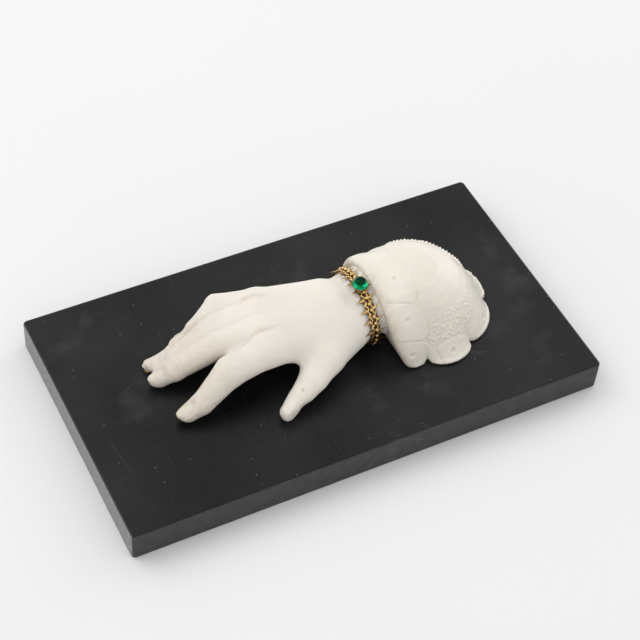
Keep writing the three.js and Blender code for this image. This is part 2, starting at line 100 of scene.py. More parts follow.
def put(beside, kind, feeds=None, **settings):
    tree = beside.id_data
    node = tree.nodes.new(kind)
    for name, value in settings.items():
        setattr(node, name, value)
    for socket, value in (feeds or {}).items():
        if isinstance(value, bpy.types.NodeSocket):
            tree.links.new(value, node.inputs[socket])
        else:
            node.inputs[socket].default_value = value
    return node


def feed(shader, socket, value):
    shader.id_data.links.new(value, shader.inputs[socket])


def start_finish(name, constants):
    finish = bpy.data.materials.new(name)
    finish.use_nodes = True
    shader = finish.node_tree.nodes["Principled BSDF"]
    for socket, value in constants.items():
        shader.inputs[socket].default_value = value
    place = put(shader, "ShaderNodeTexCoord").outputs["Object"]
    scaled = put(shader, "ShaderNodeVectorMath", {0: place, "Scale": 1000.0}, operation="SCALE")
    return finish, shader, scaled.outputs["Vector"]


def noise(place, per_mm, detail=2.0, rough=0.5):
    feeds = {"Vector": place, "Scale": per_mm, "Detail": detail, "Roughness": rough}
    return put(place, "ShaderNodeTexNoise", feeds).outputs["Fac"]


def ramp(amount, *stops):
    node = put(amount, "ShaderNodeValToRGB", {"Fac": amount})
    bar = node.color_ramp.elements
    while len(bar) < len(stops):
        bar.new(0.5)
    for mark, (place, value) in zip(bar, stops):
        mark.position = place
        mark.color = (*value, 1.0) if isinstance(value, tuple) else (value, value, value, 1.0)
    return node.outputs["Color"]


def blend(amount, first, second):
    node = put(amount, "ShaderNodeMix", data_type="RGBA")
    sockets = [s for s in node.inputs if s.type == "RGBA"]
    for socket, value in ((node.inputs[0], amount), (sockets[0], first), (sockets[1], second)):
        if isinstance(value, bpy.types.NodeSocket):
            node.id_data.links.new(value, socket)
        else:
            socket.default_value = (*value, 1.0)
    return next(s for s in node.outputs if s.type == "RGBA")


def maths(operation, first, second, clamp=False):
    node = put(first, "ShaderNodeMath", {0: first, 1: second}, operation=operation, use_clamp=clamp)
    return node.outputs["Value"]


def times(first, second, clamp=False):
    return maths("MULTIPLY", first, second, clamp)


def relief(height, depth_mm, shader):
    feeds = {"Height": height, "Distance": depth_mm / 1000, "Strength": 1.0}
    feed(shader, "Normal", put(shader, "ShaderNodeBump", feeds).outputs["Normal"])


print("node helper ready")

# %% [markdown]
# ## Alabaster
# Alabaster is a soft, slightly see-through stone. Light goes a little way in and comes out warm, which is
# what subsurface scattering does. Each carved mesh carries a value that tints the colour tan. It is partly
# real handling dirt and stains, and partly painted shade laid into the cuts and creases. A second value
# greys the fingertips and paints grey shade at the last finger joints.

# %% Alabaster finishes
joint_shade_grey = (0.56, 0.56, 0.575)
soil_strength = 1.5
glow_share = 0.5
glow_depth_mm = 1.5
glow_colour = (1.0, 0.75, 0.5)


def alabaster_finish(name, pale, cloud, soil_and_shade_tint, rough):
    finish, shader, place = start_finish(name, {
        "Subsurface Weight": glow_share, "Subsurface Radius": glow_colour,
        "Subsurface Scale": glow_depth_mm / 1000})
    clouds = ramp(noise(place, 0.045, 3.0), (0.38, 0.0), (0.68, 1.0))
    stone = blend(clouds, pale, cloud)
    fleck = ramp(noise(place, 0.35, 4.0, 0.6), (0.63, 0.0), (0.74, 0.35))
    stone = blend(fleck, stone, cloud)
    # grey value: greyer towards the fingertips, and painted grey shade at the finger joints
    cool = put(place, "ShaderNodeAttribute", attribute_name="cool").outputs["Fac"]
    stone = blend(cool, stone, joint_shade_grey)
    # tan tint: real dirt and stains, plus painted shade in the cuts and creases
    soil = put(place, "ShaderNodeAttribute", attribute_name="soil").outputs["Fac"]
    uneven = times(soil, noise(place, 0.5, 3.0))
    stone = blend(times(uneven, soil_strength, True), stone, soil_and_shade_tint)
    feed(shader, "Base Color", stone)
    worn = ramp(noise(place, 0.2, 3.0), (0.3, rough - 0.06), (0.7, rough + 0.08))
    feed(shader, "Roughness", worn)
    relief(noise(place, 1.6, 3.0, 0.6), 0.05, shader)
    return finish


hand_alabaster = alabaster_finish(
    "hand alabaster", (0.87, 0.815, 0.735), (0.81, 0.765, 0.70), (0.50, 0.36, 0.20), 0.46)
cuff_alabaster = alabaster_finish(
    "cuff alabaster", (0.875, 0.82, 0.73), (0.79, 0.75, 0.665), (0.46, 0.38, 0.27), 0.31)
print("finishes:", hand_alabaster.name, "and", cuff_alabaster.name)

# %% [markdown]
# ## Making a solid's surface finer
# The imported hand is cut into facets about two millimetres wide. A subdivision surface would round them
# but keep their pattern, so the solid is laid on an even grid of small quads instead and then relaxed:
# each point moves towards its neighbours and then about as far back, which melts the facets and keeps
# the size.

# %% Even grid, relaxing and normals
hand_cell = 0.6
hand_rounds = 14


def even_grid(node, cell_mm):
    copy = bpy.data.objects.new("even grid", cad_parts[node].data.copy())
    bpy.context.scene.collection.objects.link(copy)
    grid = copy.modifiers.new("even grid", "REMESH")
    grid.mode = "VOXEL"
    grid.voxel_size = cell_mm / 1000
    mesh = copy.evaluated_get(bpy.context.evaluated_depsgraph_get()).to_mesh()
    points = mesh_points(mesh)
    quads = np.array([tuple(face.vertices) for face in mesh.polygons])
    bpy.data.objects.remove(copy)
    return points, quads


def relaxed(points, quads, rounds, there=0.5, back=-0.52, where=1.0):
    edges = np.concatenate([quads[:, [a, (a + 1) % 4]] for a in range(4)])
    edges = np.concatenate([edges, edges[:, ::-1]])
    count = np.bincount(edges[:, 0], minlength=len(points))[:, None]
    share = np.broadcast_to(where, len(points))[:, None]
    for step in [there, back] * rounds:
        total = [np.bincount(edges[:, 0], points[edges[:, 1], axis], len(points)) for axis in range(3)]
        points = points + step * share * (np.stack(total, 1) / count - points)
    return points


def normals_of(points, quads):
    a, b, c, d = (points[quads[:, corner]] for corner in range(4))
    across = np.cross(c - a, d - b)
    total = np.zeros_like(points)
    for corner in range(4):
        for axis in range(3):
            total[:, axis] += np.bincount(quads[:, corner], across[:, axis], len(points))
    return total / np.linalg.norm(total, axis=1, keepdims=True)


def pushed(points, quads, height):
    return points + normals_of(points, quads) * height[:, None]


def capped(value):
    return np.clip(value, 0, 1)


def add_piece(name, points, faces, finish, slot, *stands_for, smooth=True, **values):
    mesh = bpy.data.meshes.new(name)
    mesh.from_pydata(to_row(points).tolist(), [], [tuple(map(int, face)) for face in faces])
    mesh.materials.append(finish)
    mesh.polygons.foreach_set("use_smooth", [smooth] * len(mesh.polygons))
    for value, amounts in values.items():
        mesh.attributes.new(value, "FLOAT", "POINT").data.foreach_set("value", capped(amounts))
    piece = bpy.data.objects.new(name, mesh)
    bpy.context.scene.collection.objects.link(piece)
    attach(piece, "root")
    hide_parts(*stands_for)
    print(name, "has", len(mesh.vertices), "points and", len(mesh.polygons), "faces")


hand, hand_quads = even_grid("hand", hand_cell)
hand = relaxed(hand, hand_quads, hand_rounds)
print("hand on an even grid:", len(hand), "points")

# %% [markdown]
# ## Cutting lines into stone
# A carver deepens the line between two fingers with a narrow chisel. Here a line is a few points given
# as reach and side, dropped onto the top of the surface. Every point of the mesh near the line sinks
# along its normal, most in the middle and nothing at the edge, and the line fades at both ends. Its
# colour is also darkened along the groove, as a painted shade.

# %% Lines on a surface
line_spacing = 0.7
line_fade = 4.0
line_shade = 0.25


def steps_along(line):
    return np.r_[0, np.cumsum(np.linalg.norm(np.diff(line, axis=0), axis=1))]


def on_top(points, line):
    line = np.array(line, float)
    steps = steps_along(line)
    along = np.arange(0, steps[-1] + line_spacing / 2, line_spacing)
    plan = np.stack([np.interp(along, steps, line[:, axis]) for axis in (0, 1)], 1)
    found = []
    for spot in plan:
        near = points[np.hypot(*(points[:, :2] - spot).T) < line_spacing]
        if len(near):
            found.append([*spot, near[:, 2].max()])
    return np.array(found)


def away_from(points, line):
    best = np.full(len(points), 1e9)
    share = np.zeros(len(points))
    for i in range(len(line) - 1):
        step = line[i + 1] - line[i]
        t = capped((points - line[i]) @ step / (step @ step))
        gap = np.linalg.norm(points - line[i] - t[:, None] * step, axis=1)
        closer = gap < best
        best[closer] = gap[closer]
        share[closer] = (i + t[closer]) / (len(line) - 1)
    return best, share


def dip(gap, width):
    return capped(1 - (gap / width) ** 2) ** 2


def fading(share, fade):
    return capped(np.minimum(share, 1 - share) * fade)


def cut_line(points, quads, soil, line, width, depth):
    gap, share = away_from(points, line)
    cut = dip(gap, width) * fading(share, line_fade)
    # painted shade: the colour darkens along the groove, most where it is cut deepest
    soil += line_shade * cut ** 2
    return pushed(points, quads, -depth * cut)


hand_soil = np.zeros(len(hand))
finger_lines = {
    "ring and middle": (
        [(36, -1.5), (41, -3.4), (49, -7.0), (61, -9.7), (70, -9.4), (79, -8.4)], 1.2, 0.45),
    "little and ring": (
        [(35, -11), (40, -13.2), (48.8, -17.0), (57, -17.6), (65, -16.4)], 1.8, 0.2),
    "little tip and ring": (
        [(58, -17.6), (64, -16.5), (69, -15.6), (73, -15.2)], 1.8, 1.2),
    "index and middle": (
        [(35, 5.9), (41, 5.4), (50, 4.3), (58, 4.4)], 1.5, 0.6),
}
for name, (line, width, depth) in finger_lines.items():
    track = on_top(hand, line)
    hand = cut_line(hand, hand_quads, hand_soil, track, width, depth)
    print("line between", name, "is", round(float(steps_along(track)[-1])), "mm long")

# %% [markdown]
# ## Fingertips
# A real fingertip rests on its pad, a little behind its end, and the end turns up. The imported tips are
# plain rounded ends, which leaves room for glue but looks like a peg. Sculpting by hand could mend that.
# Here each tip is measured along its last bone, so one function lifts and narrows the end and lowers
# the pad almost to the slab.

# %% Fingertips
Tip = namedtuple("Tip", "joint end width rise pad_back nail_cut")
tips = {
    "index": Tip((72.4, 14.3, 5.8), (80.6, 14.8, 3.2), 6.0, 2.6, 5.6, 1.0),
    "middle": Tip((75.6, -4.7, 6.1), (84.0, -5.0, 3.4), 5.6, 2.4, 5.2, 0.8),
    "ring": Tip((73.2, -11.9, 5.1), (82.8, -13.4, 3.0), 4.8, 0.6, 3.6, 0.4),
    "little": Tip((60.6, -18.8, 8.6), (69.2, -17.8, 3.6), 4.6, 0.8, 3.6, 0.4),
    "thumb": Tip((29.8, 22.6, 8.7), (44.1, 30.0, 3.6), 6.2, 0.0, 3.6, 0.3),
}
tip_zone = 8.0
tip_taper = 0.12
pad_height = 0.05
pad_spread = 3.0
straight_up = [0, 0, 1]


def hump(distance, spread):
    return np.exp(-((distance / spread) ** 2))


def shape_tip(points, tip):
    joint, end = np.array(tip.joint[:2]), np.array(tip.end[:2])
    length = np.linalg.norm(end - joint)
    along = (end - joint) / length
    aside = np.array([-along[1], along[0]])
    u, v = (points[:, :2] - joint) @ along, (points[:, :2] - joint) @ aside
    low = points[:, 2] < tip_zone
    last = u[(np.abs(v) < 1.5) & (u < length + 5) & low].max()
    mine = (np.abs(v) < tip.width * 0.62) & (u < last + 0.5) & low
    past_pad = u - last + tip.pad_back
    share = capped(past_pad / tip.pad_back) ** 2 * mine
    under = capped(1 - points[:, 2] / 6)
    points = points + np.outer(share * tip.rise * under, straight_up)
    sink = points[mine & (np.abs(past_pad) < 1.0), 2].min() - pad_height
    pad = hump(past_pad, pad_spread) * mine * capped(1.2 - points[:, 2] / 5)
    points = points - np.outer(sink * capped(pad), straight_up)
    return points - np.outer(tip_taper * tip.rise * share * v, [*aside, 0])


for digit, tip in tips.items():
    hand = shape_tip(hand, tip)
    print(digit, "tip shaped, its pad", tip.pad_back, "mm behind its end")

# %% [markdown]
# ## Nails and the creases behind them
# Each nail is a thin oval plate on a fingertip, let in at its root and standing out at its end. It could be
# a piece of its own, but it is the same stone, so points inside the oval sink at the root and rise at the
# end, and points on its rim sink. Two short creases cross the last joint. The rim and the creases are also
# darkened in colour, as a painted shade.

# %% Nails
nail_length = 1.35
nail_power = 2.6
nail_rise = 0.12
nail_root_depth = 0.8
nail_rim_depth = 0.36
creases = ((0.62, 0.14), (0.95, 0.08))


def unit(arrow):
    return arrow / np.linalg.norm(arrow)


def nail(points, quads, soil, tip):
    joint, end = np.array(tip.joint), np.array(tip.end)
    along = unit(end - joint)
    across = unit(np.cross([0, 0, 1.0], along))
    upward = np.cross(along, across)
    normal = normals_of(points, quads)
    length = tip.width * nail_length
    offset = points - (end - along * (length * 0.5 - tip.width * 0.36))
    u, v, w = offset @ along, offset @ across, offset @ upward
    oval = np.abs(u / (length / 2)) ** nail_power + np.abs(v / (tip.width * 0.43)) ** nail_power
    size = oval ** (1 / nail_power)
    facing = capped((normal @ upward - 0.05) * 3) * (w > -0.4)
    rim = hump(size - 1, 0.13) * facing
    plate = np.clip(1 - size, 0, 0.25) * 4 * facing
    root = tip.nail_cut * capped(0.6 - 1.6 * u / length)
    # painted shade: the nail's rim is darkened, most at its root
    soil += (0.08 + 0.2 * root) * rim
    height = (nail_rise - nail_root_depth * root) * plate - (nail_rise + nail_rim_depth * root) * rim
    for behind, depth in creases:
        bow = u + length * behind - 0.08 * v ** 2
        crease = dip(bow, 0.55) * capped(1 - (v / (tip.width * 0.55)) ** 2) * facing
        # painted shade: each crease is darkened
        soil += 0.12 * crease
        height = height - depth * crease
    return points + normal * height[:, None]


for digit, tip in tips.items():
    hand = nail(hand, hand_quads, hand_soil, tip)
    print(digit, "nail,", tip.width, "mm wide")

# %% [markdown]
# ## Worn places
# A carved hand is never even: hollows lie beside the knuckles and the thumb, one fingertip bulges, a chip
# has gone from the thumb, and dirt gathers towards the tips, which also turn greyer, with spots of painted
# grey shade at the last finger joints. The wrist swells softly where it enters the cuff. Sculpting would do,
# but a short list of spots is easier to change: each pushes the points near it inwards, or outwards where
# the depth is negative.

# %% Hollows, swelling and stains
hollows = [
    ((66.0, -19.6, 8.6), 3.4, 0.9),
    ((72.7, -15.4, 8.3), 1.9, 0.9),
    ((37.6, 31.4, 4.6), 4.8, 1.0),
    ((42.4, 33.0, 3.6), 3.6, 0.9),
    ((81.3, -11.2, 3.6), 3.2, -0.9),
]
# spots of painted grey shade at the finger-joint creases
joint_shade_spots = [
    ((75.8, 12.9, 8.2), 1.8),
    ((77.1, -10.1, 8.1), 1.6),
    ((64.8, -17.6, 12.0), 1.4),
    ((80.5, -3.2, 7.8), 1.5),
]
stain_line = [(36, -11.5), (39, -12.8), (43, -14.4)]
chip_line = [(36.5, 26.9), (37.2, 27.2)]
front_at, front_sweep, front_sweep_height = -4.3, 5.3, 25.0
cove_height, cove_length = 2.0, 3.4


def cuff_front(points):
    return front_at - front_sweep * capped(1 - points[:, 2] / front_sweep_height) ** 2


def gap_to(points, spot):
    return np.linalg.norm(points - spot, axis=1)


def eased(share):
    return share ** 2 * (3 - 2 * share)


for spot, width, depth in hollows:
    hand = pushed(hand, hand_quads, -depth * dip(gap_to(hand, spot), width))
under_tips = capped(1 - hand[:, 2] / 4) * (hand[:, 0] > 28)
hand = relaxed(hand, hand_quads, 8, where=under_tips)
hand = relaxed(hand, hand_quads, 1)
behind_front = cuff_front(hand) - hand[:, 0]
cove = capped((behind_front + cove_length) / cove_length) ** 2
hidden = capped(1 - (behind_front - 1.2) / 2)
hand = pushed(hand, hand_quads, cove_height * cove * hidden)

stain_gap, _ = away_from(hand, on_top(hand, stain_line))
stain = hump(stain_gap, 1.4)
chip_at = on_top(hand, chip_line)[0]
chip = hump(gap_to(hand, chip_at), 0.55)
hand = pushed(hand, hand_quads, -0.25 * chip)
handled = capped((hand[:, 0] - 46) / 26)
hand_soil += 0.3 * stain + 1.4 * chip + 0.3 * eased(handled)
# the tips turn greyer, and the joint spots add painted grey shade
hand_cool = 0.1 * handled ** 2
for spot, width in joint_shade_spots:
    hand_cool += 0.3 * hump(gap_to(hand, spot), width)
add_piece("hand_carved", hand, hand_quads, hand_alabaster, "alabaster", "hand",
          soil=hand_soil, cool=hand_cool)

# %% [markdown]
# ## The lace cuff
# The cuff is a bell of the same stone, carved to look like lace: petals turned back along its front edge,
# smooth lobes at the hem, and small pebbles on the ground between. A texture could fake this, but pebbles
# show on the outline, so they are cut. Two charts come first: they say where a point lies among the petals
# and among the lobes.

# %% Cuff charts
cuff_cell = 0.36
cuff_rounds = 40
petal_pitch = 38.0
petal_start = -10.0
petal_middle = np.array([1.0, 4.0])
hem_middle = np.array([-26.9, -1.2])
notches = np.array([-106.4, -66.4, -19.0, 19.0, 66.4, 106.4])
wrist_middle = np.array([-0.8, 14.0])
socket_radius = 13.5


def petal_chart(points):
    behind = cuff_front(points) - points[:, 0]
    turn = np.degrees(np.arctan2(points[:, 1] - petal_middle[0], points[:, 2] - petal_middle[1]))
    turn = turn - 0.75 * behind * np.tanh(turn / 20)
    place = (turn - petal_start) / petal_pitch
    return behind, place - np.floor(place)


def hem_chart(points):
    offset = points[:, :2] - hem_middle
    turn = np.degrees(np.arctan2(offset[:, 1], -offset[:, 0]))
    lobe = np.clip(np.searchsorted(notches, turn) - 1, 0, len(notches) - 2)
    start, end = notches[lobe], notches[lobe + 1]
    return (turn - start) / (end - start), np.abs(turn) < notches[-1], np.abs(turn) > notches[-2]


def round_wrist(points):
    offset = points[:, 1:] - wrist_middle
    return np.arctan2(offset[:, 0], offset[:, 1]), np.hypot(offset[:, 0], offset[:, 1])


def arch(share):
    return np.sqrt(capped(1 - (2 * share - 1) ** 2))


cuff, cuff_quads = even_grid("cuff", cuff_cell)
cuff = relaxed(cuff, cuff_quads, cuff_rounds)
cuff_soil = np.zeros(len(cuff))
print("cuff on an even grid:", len(cuff), "points")

# %% [markdown]
# ### Petals and lobes
# Each petal and each lobe is a flat step with a rounded end and a fine groove round it. They could be cut
# with curves, but with the charts an arch over each share is enough. These are masks from nought to one:
# the surface moves once, when all of them are known.

# %% Petals and hem lobes
petal_length, petal_arch = 10.3, 4.2
lobe_base, lobe_arch = 1.6, 7.0

reach, side, height = cuff.T
behind, across_petal = petal_chart(cuff)
along_lobe, has_lobe, front_lobe = hem_chart(cuff)
normal = normals_of(cuff, cuff_quads)
outside = (normal[:, 2] > -0.3) & (height > 0.9) & (behind > -0.3)
outside &= round_wrist(cuff)[1] > socket_radius

petal_edge = petal_length + petal_arch * arch(across_petal)
on_petal = capped((petal_edge - behind) / 0.9 + 0.5) * outside
side_gap = np.minimum(across_petal, 1 - across_petal) * petal_pitch * 0.42
split = dip(side_gap, 0.75) * (behind < petal_length + 0.3) * (behind > 0.4) * outside
rim = dip(behind - petal_edge - 0.2, 0.8) * outside

past_petals = outside * has_lobe * (on_petal < 0.1)
lobe_top = lobe_base + lobe_arch * arch(along_lobe)
lobe_step = np.where(front_lobe, 1.6, 4.0)
on_lobe = capped((lobe_top - height) / lobe_step + 0.5) * past_petals
lobe_rim = dip(height - lobe_top - 0.3, 0.9) * front_lobe * past_petals
ground = outside & (on_petal < 0.05) & (on_lobe < 0.05)
print(len(notches) - 1, "lobes on the hem;", int(ground.sum()), "points of plain ground")

# %% [markdown]
# ### Pebbles
# The ground of the lace is pricked into small round grains, drawn out a little along the cuff. Rows would
# look machine-made, so points are taken in a shuffled order, and one becomes a pebble if no other is closer
# than the gap. Pebbles stand out on each flank and up to the far edge, and are worn away elsewhere.

# %% Pebbles
pebble_gap = 1.25
pebble_radius = 0.8
grain_way = np.array([-0.8, 0.5, -0.33])
grain_stretch = 0.42
patch_line = np.array([(-17.0, 24.5, 10.0), (-27.0, 22.5, 14.5), (-38.0, 19.5, 14.5)])
edge_corners = [(-20.5, -19.6, 19.8), (-29.2, -18.5, 20.4), (-35.0, -15.1, 21.0),
                (-40.8, -10.1, 20.0), (-45.7, -4.8, 17.6), (-50.0, -2.0, 11.5)]


def smooth_line(corners, steps=4):
    corners = np.array(corners)
    padded = np.r_[2 * corners[:1] - corners[1:2], corners, 2 * corners[-1:] - corners[-2:-1]]
    t = np.linspace(0, 1, steps, endpoint=False)[:, None]
    pieces = []
    for a, b, c, d in zip(padded, padded[1:], padded[2:], padded[3:]):
        bend = t ** 2 * (2 * a - 5 * b + 4 * c - d) + t ** 3 * (3 * b - a - 3 * c + d)
        pieces.append(b + (t * (c - a) + bend) / 2)
    return np.concatenate([*pieces, corners[-1:]])


def along_line(share, values):
    return np.interp(share * (len(values) - 1), np.arange(len(values)), values)


chart = cuff - grain_stretch * np.outer(cuff @ grain_way, grain_way)
pebbles = []
cells = {}
for i in np.random.default_rng(7).permutation(np.nonzero(ground)[0]):
    spot = chart[i]
    a, b, c = (spot // pebble_gap).astype(int)
    around = [cells.get((a + n % 3 - 1, b + n // 3 % 3 - 1, c + n // 9 - 1), ()) for n in range(27)]
    if all(np.linalg.norm(spot - other) > pebble_gap for group in around for other in group):
        cells.setdefault((a, b, c), []).append(spot)
        pebbles.append(spot)
nearest = kdtree.KDTree(len(pebbles))
for i, spot in enumerate(pebbles):
    nearest.insert(spot, i)
nearest.balance()
swell = 0.15 + 0.95 * np.random.default_rng(8).uniform(0, 1, len(pebbles)) ** 1.5
pebble = np.zeros(len(cuff))
for i in np.nonzero(ground)[0]:
    _, which, gap = nearest.find(chart[i])
    pebble[i] = swell[which] * max(0.0, 1 - (gap / pebble_radius) ** 2)

across_middle = np.abs(side - hem_middle[1]) + hem_middle[1]
mirrored = np.stack([reach, across_middle, height], 1)
patch = capped((10 - away_from(mirrored, patch_line)[0]) / 7)
edge_line = smooth_line(edge_corners)
edge_gap, edge_share = away_from(cuff, edge_line)
below = capped(along_line(edge_share, edge_line[:, 2]) + 0.8 - height)
below_edge = capped((12 - edge_gap) / 5) * below * (side < 2)
patch = np.maximum(patch, below_edge)
pebble *= 0.12 + 0.88 * eased(patch)
print(len(pebbles), "pebbles on the lace ground")

# %% [markdown]
# ### Raising the lace
# Every mask becomes a height in millimetres and the surface moves once along its normals. Brushes could
# sculpt this, but named heights are easier to change. Grooves are crisp on the flanks and worn on top, where
# hands pass. The front is rolled into a soft lip, and its mouth is eased towards the wrist and relaxed.
# Painted shade darkens the front on the near side, the grooves, and the ground between the pebbles.

# %% Raising the lace
petal_height, lobe_height, pebble_height = 0.3, 0.28, 0.46
split_depth, rim_depth, lobe_rim_depth = 0.26, 0.14, 0.08
lip_height, lip_at, lip_spread = 0.3, 3.5, 2.5
waist_depth, waist_at, waist_spread = 0.55, 11.0, 3.5
mouth_pull, mouth_length = 0.42, 5.5
mouth_turn, mouth_spread = 32.0, 30.0
mouth_low, mouth_wide = 10.8, 4.0

crisp = 0.2 + 0.8 * eased(capped((across_middle - 1) / 12))
split, rim, lobe_rim = split * crisp, rim * crisp, lobe_rim * crisp
lift = petal_height * on_petal + lobe_height * on_lobe + pebble_height * pebble
lift -= split_depth * split + rim_depth * rim + lobe_rim_depth * lobe_rim
rolled = lip_height * hump(behind - lip_at, lip_spread) - waist_depth * hump(behind - waist_at, waist_spread)
lift += rolled * capped((height - 12) / 8) * outside
cuff = cuff + normal * lift[:, None]

wrist_turn, wrist_out = round_wrist(cuff)
mouth = mouth_low + mouth_wide * np.sin(wrist_turn) ** 2
opened = np.exp(-(((np.degrees(wrist_turn) - mouth_turn) / mouth_spread) ** 4))
opened *= capped(1 - behind / mouth_length) ** 2
inward = mouth_pull * opened * np.clip(wrist_out - mouth, 0, None)
cuff[:, 1] -= inward * np.sin(wrist_turn)
cuff[:, 2] -= inward * np.cos(wrist_turn)
front_edge = hump(behind, 2.2) * (round_wrist(cuff)[1] > socket_radius)
cuff = relaxed(cuff, cuff_quads, 80, 0.5, 0.0, front_edge)
# painted shade: the cuff's front is darkened on the near side
cuff_soil += 0.42 * hump(behind, 3.0) * capped((cuff[:, 1] + 8) / 8)
# painted shade in the splits between petals and along the petal and lobe rims
cuff_soil += 0.3 * split ** 2 + 0.12 * rim + 0.15 * lobe_rim
# painted shade on the low ground between the pebbles
cuff_soil += 0.1 * (ground & (pebble < 0.15)) * patch
print("lace raised by up to", lift.max().round(2), "mm")

# %% [markdown]
# ### Fluted edge
# Along the far edge of the cuff the lace ends in a row of small ribs, which show as a beaded outline. A
# row of separate beads would look stuck on, so the ribs are a wave along the edge's line, each rib a
# little larger or smaller than the next, as a hand-held file leaves them.

# %% Fluted edge
flute_pitch = 1.45
flute_width = 1.9
flute_base = 0.2
flute_low, flute_high = 0.35, 0.65
most_flutes = 40

edge_steps = steps_along(edge_line)
gap, share = away_from(cuff, edge_line)
along = along_line(share, edge_steps)
flute_sizes = np.random.default_rng(9).uniform(flute_low, flute_high, most_flutes)
flute_size = flute_sizes[(along / flute_pitch + 0.5).astype(int)]
flute = flute_base + flute_size * (0.5 + 0.5 * np.cos(2 * math.pi * along / flute_pitch))
cuff = pushed(cuff, cuff_quads, flute * dip(gap, flute_width) * fading(share, 8))
print(round(edge_steps[-1] / flute_pitch), "flutes along the far edge of the lace")

# %% [markdown]
# ### Eyelets
# A drilled eyelet sits in each petal and each lobe. A boolean cut would leave a hard rim, and the real
# holes are shallow and worn, so the points near each spot sink and a soft collar rises round them.

# %% Eyelets
eyelet_radius = 1.35
eyelet_depth = 0.5
collar_height = 0.16
eyelet_height = 4.2
eyelet_spots = [
    (-13.0, 4.0, 28.4), (-11.4, 19.6, 20.6), (-11.8, 25.9, 6.3), (-11.4, -20.4, 20.6), (-11.8, -27.0, 6.3)]
for turn in np.radians((notches[:-1] + notches[1:]) / 2):
    ray = np.array([-math.cos(turn), math.sin(turn)])
    offset = cuff[:, :2] - hem_middle
    aside = np.abs(offset @ [-ray[1], ray[0]]) + 50 * (offset @ ray < 0)
    miss = np.where(outside, np.abs(cuff[:, 2] - eyelet_height) + aside, 1e9)
    eyelet_spots.append(cuff[np.argmin(miss)])

for spot in eyelet_spots:
    spot = cuff[np.argmin(gap_to(cuff, spot))]
    gap = gap_to(cuff, spot)
    hole = dip(gap, eyelet_radius)
    collar = hump(gap - eyelet_radius * 1.3, eyelet_radius * 0.4)
    # painted shade: the colour darkens inside each hole
    cuff_soil += 0.22 * hole
    cuff = pushed(cuff, cuff_quads, collar_height * collar - eyelet_depth * hole)
cuff = relaxed(cuff, cuff_quads, 1)
add_piece("cuff_carved", cuff, cuff_quads, cuff_alabaster, "cuff_alabaster", "cuff", soil=cuff_soil)
print(len(eyelet_spots), "eyelets drilled")

# %% [markdown]
# ## Gilt brass
# The bracelet is stamped and soldered brass with a thin gold wash. The wash is bright on what stands out
# and dark brown on edges, undersides and low parts, which is partly tarnish and partly painted shade.
# Painting that by hand would take long, so each of its meshes carries the same tinting value as the stone,
# here for tarnish and painted shade.

# %% Gilt finish
gilt, shader, place = start_finish("gilt brass", {"Metallic": 1.0})
# darkens the gilt: tarnish, plus painted shade on undersides, edges and low parts
tarnish_and_shade = put(place, "ShaderNodeAttribute", attribute_name="soil").outputs["Fac"]
worn_gold = ramp(noise(place, 0.7, 3.0), (0.38, 0.0), (0.66, 1.0))
bright = blend(worn_gold, (0.96, 0.71, 0.35), (0.60, 0.36, 0.13))
feed(shader, "Base Color", blend(tarnish_and_shade, bright, (0.065, 0.032, 0.010)))
polish = ramp(noise(place, 1.2, 2.0), (0.3, 0.12), (0.7, 0.28))
feed(shader, "Roughness", polish)
relief(noise(place, 2.5, 2.0), 0.04, shader)
print("finish:", gilt.name)

# %% [markdown]
# ## The leaf bracelet
# A thin band goes round the wrist, with two wavy wires, a row of berries between them and six pointed
# leaves to each sprig. One sprig bent round by a curve modifier would work too, but placing each leaf by
# its distance round the wrist keeps it seated on the band, so the ring is first measured on the wrist.

# %% The ring round the wrist
strip_reach = 0.1
strip_width = 4.2
strip_gap = 0.3
ring_count = 360
window_count = 15

near = hand[np.abs(hand[:, 0] - strip_reach - 0.4) < strip_width / 2]
near_turn, near_out = round_wrist(near)
ring_turns = np.linspace(0, 2 * math.pi, ring_count + 1)
ring_out = np.empty(ring_count)
for i, turn in enumerate(ring_turns[:-1]):
    aside = np.abs((near_turn - turn + math.pi) % (2 * math.pi) - math.pi)
    ring_out[i] = near_out[aside < 0.06].max() + strip_gap
window = np.hanning(window_count) / np.hanning(window_count).sum()
half = window_count // 2
ring_out = np.convolve(np.r_[ring_out[-half:], ring_out, ring_out[:half + 1]], window, "valid")
ring = np.stack([np.full(ring_count + 1, strip_reach), wrist_middle[0] + ring_out * np.sin(ring_turns),
                 wrist_middle[1] + ring_out * np.cos(ring_turns)], 1)
ring_steps = steps_along(ring)
ring_length = ring_steps[-1]


def ring_point(distance):
    return np.array([np.interp(distance % ring_length, ring_steps, axis) for axis in ring.T])


def seat(shape, distance):
    round_way = unit(ring_point(distance + 0.5) - ring_point(distance - 0.5))
    reach_way = np.array([1.0, 0, 0])
    out_way = np.cross(reach_way, round_way)
    return ring_point(distance) + np.asarray(shape) @ np.stack([reach_way, round_way, out_way])


stone_axis = node_points("stone").mean(0) - node_points("stone_foil").mean(0)
stone_turn = math.atan2(stone_axis[1], stone_axis[2])
stone_at = float(np.interp(stone_turn % (2 * math.pi), ring_turns, ring_steps))
print("bracelet is", round(float(ring_length), 1), "mm round")
print("the stone sits at", round(math.degrees(stone_turn), 1), "degrees")

# %% [markdown]
# ### Lofts
# Leaf, berry and claw are all drawn the same way: a row of small closed sections, joined by quads
# and closed with a point at each end. One function makes such a body, and another gathers many bodies
# into one mesh, because the real bracelet is soldered into one piece.

# %% Lofts and gathering


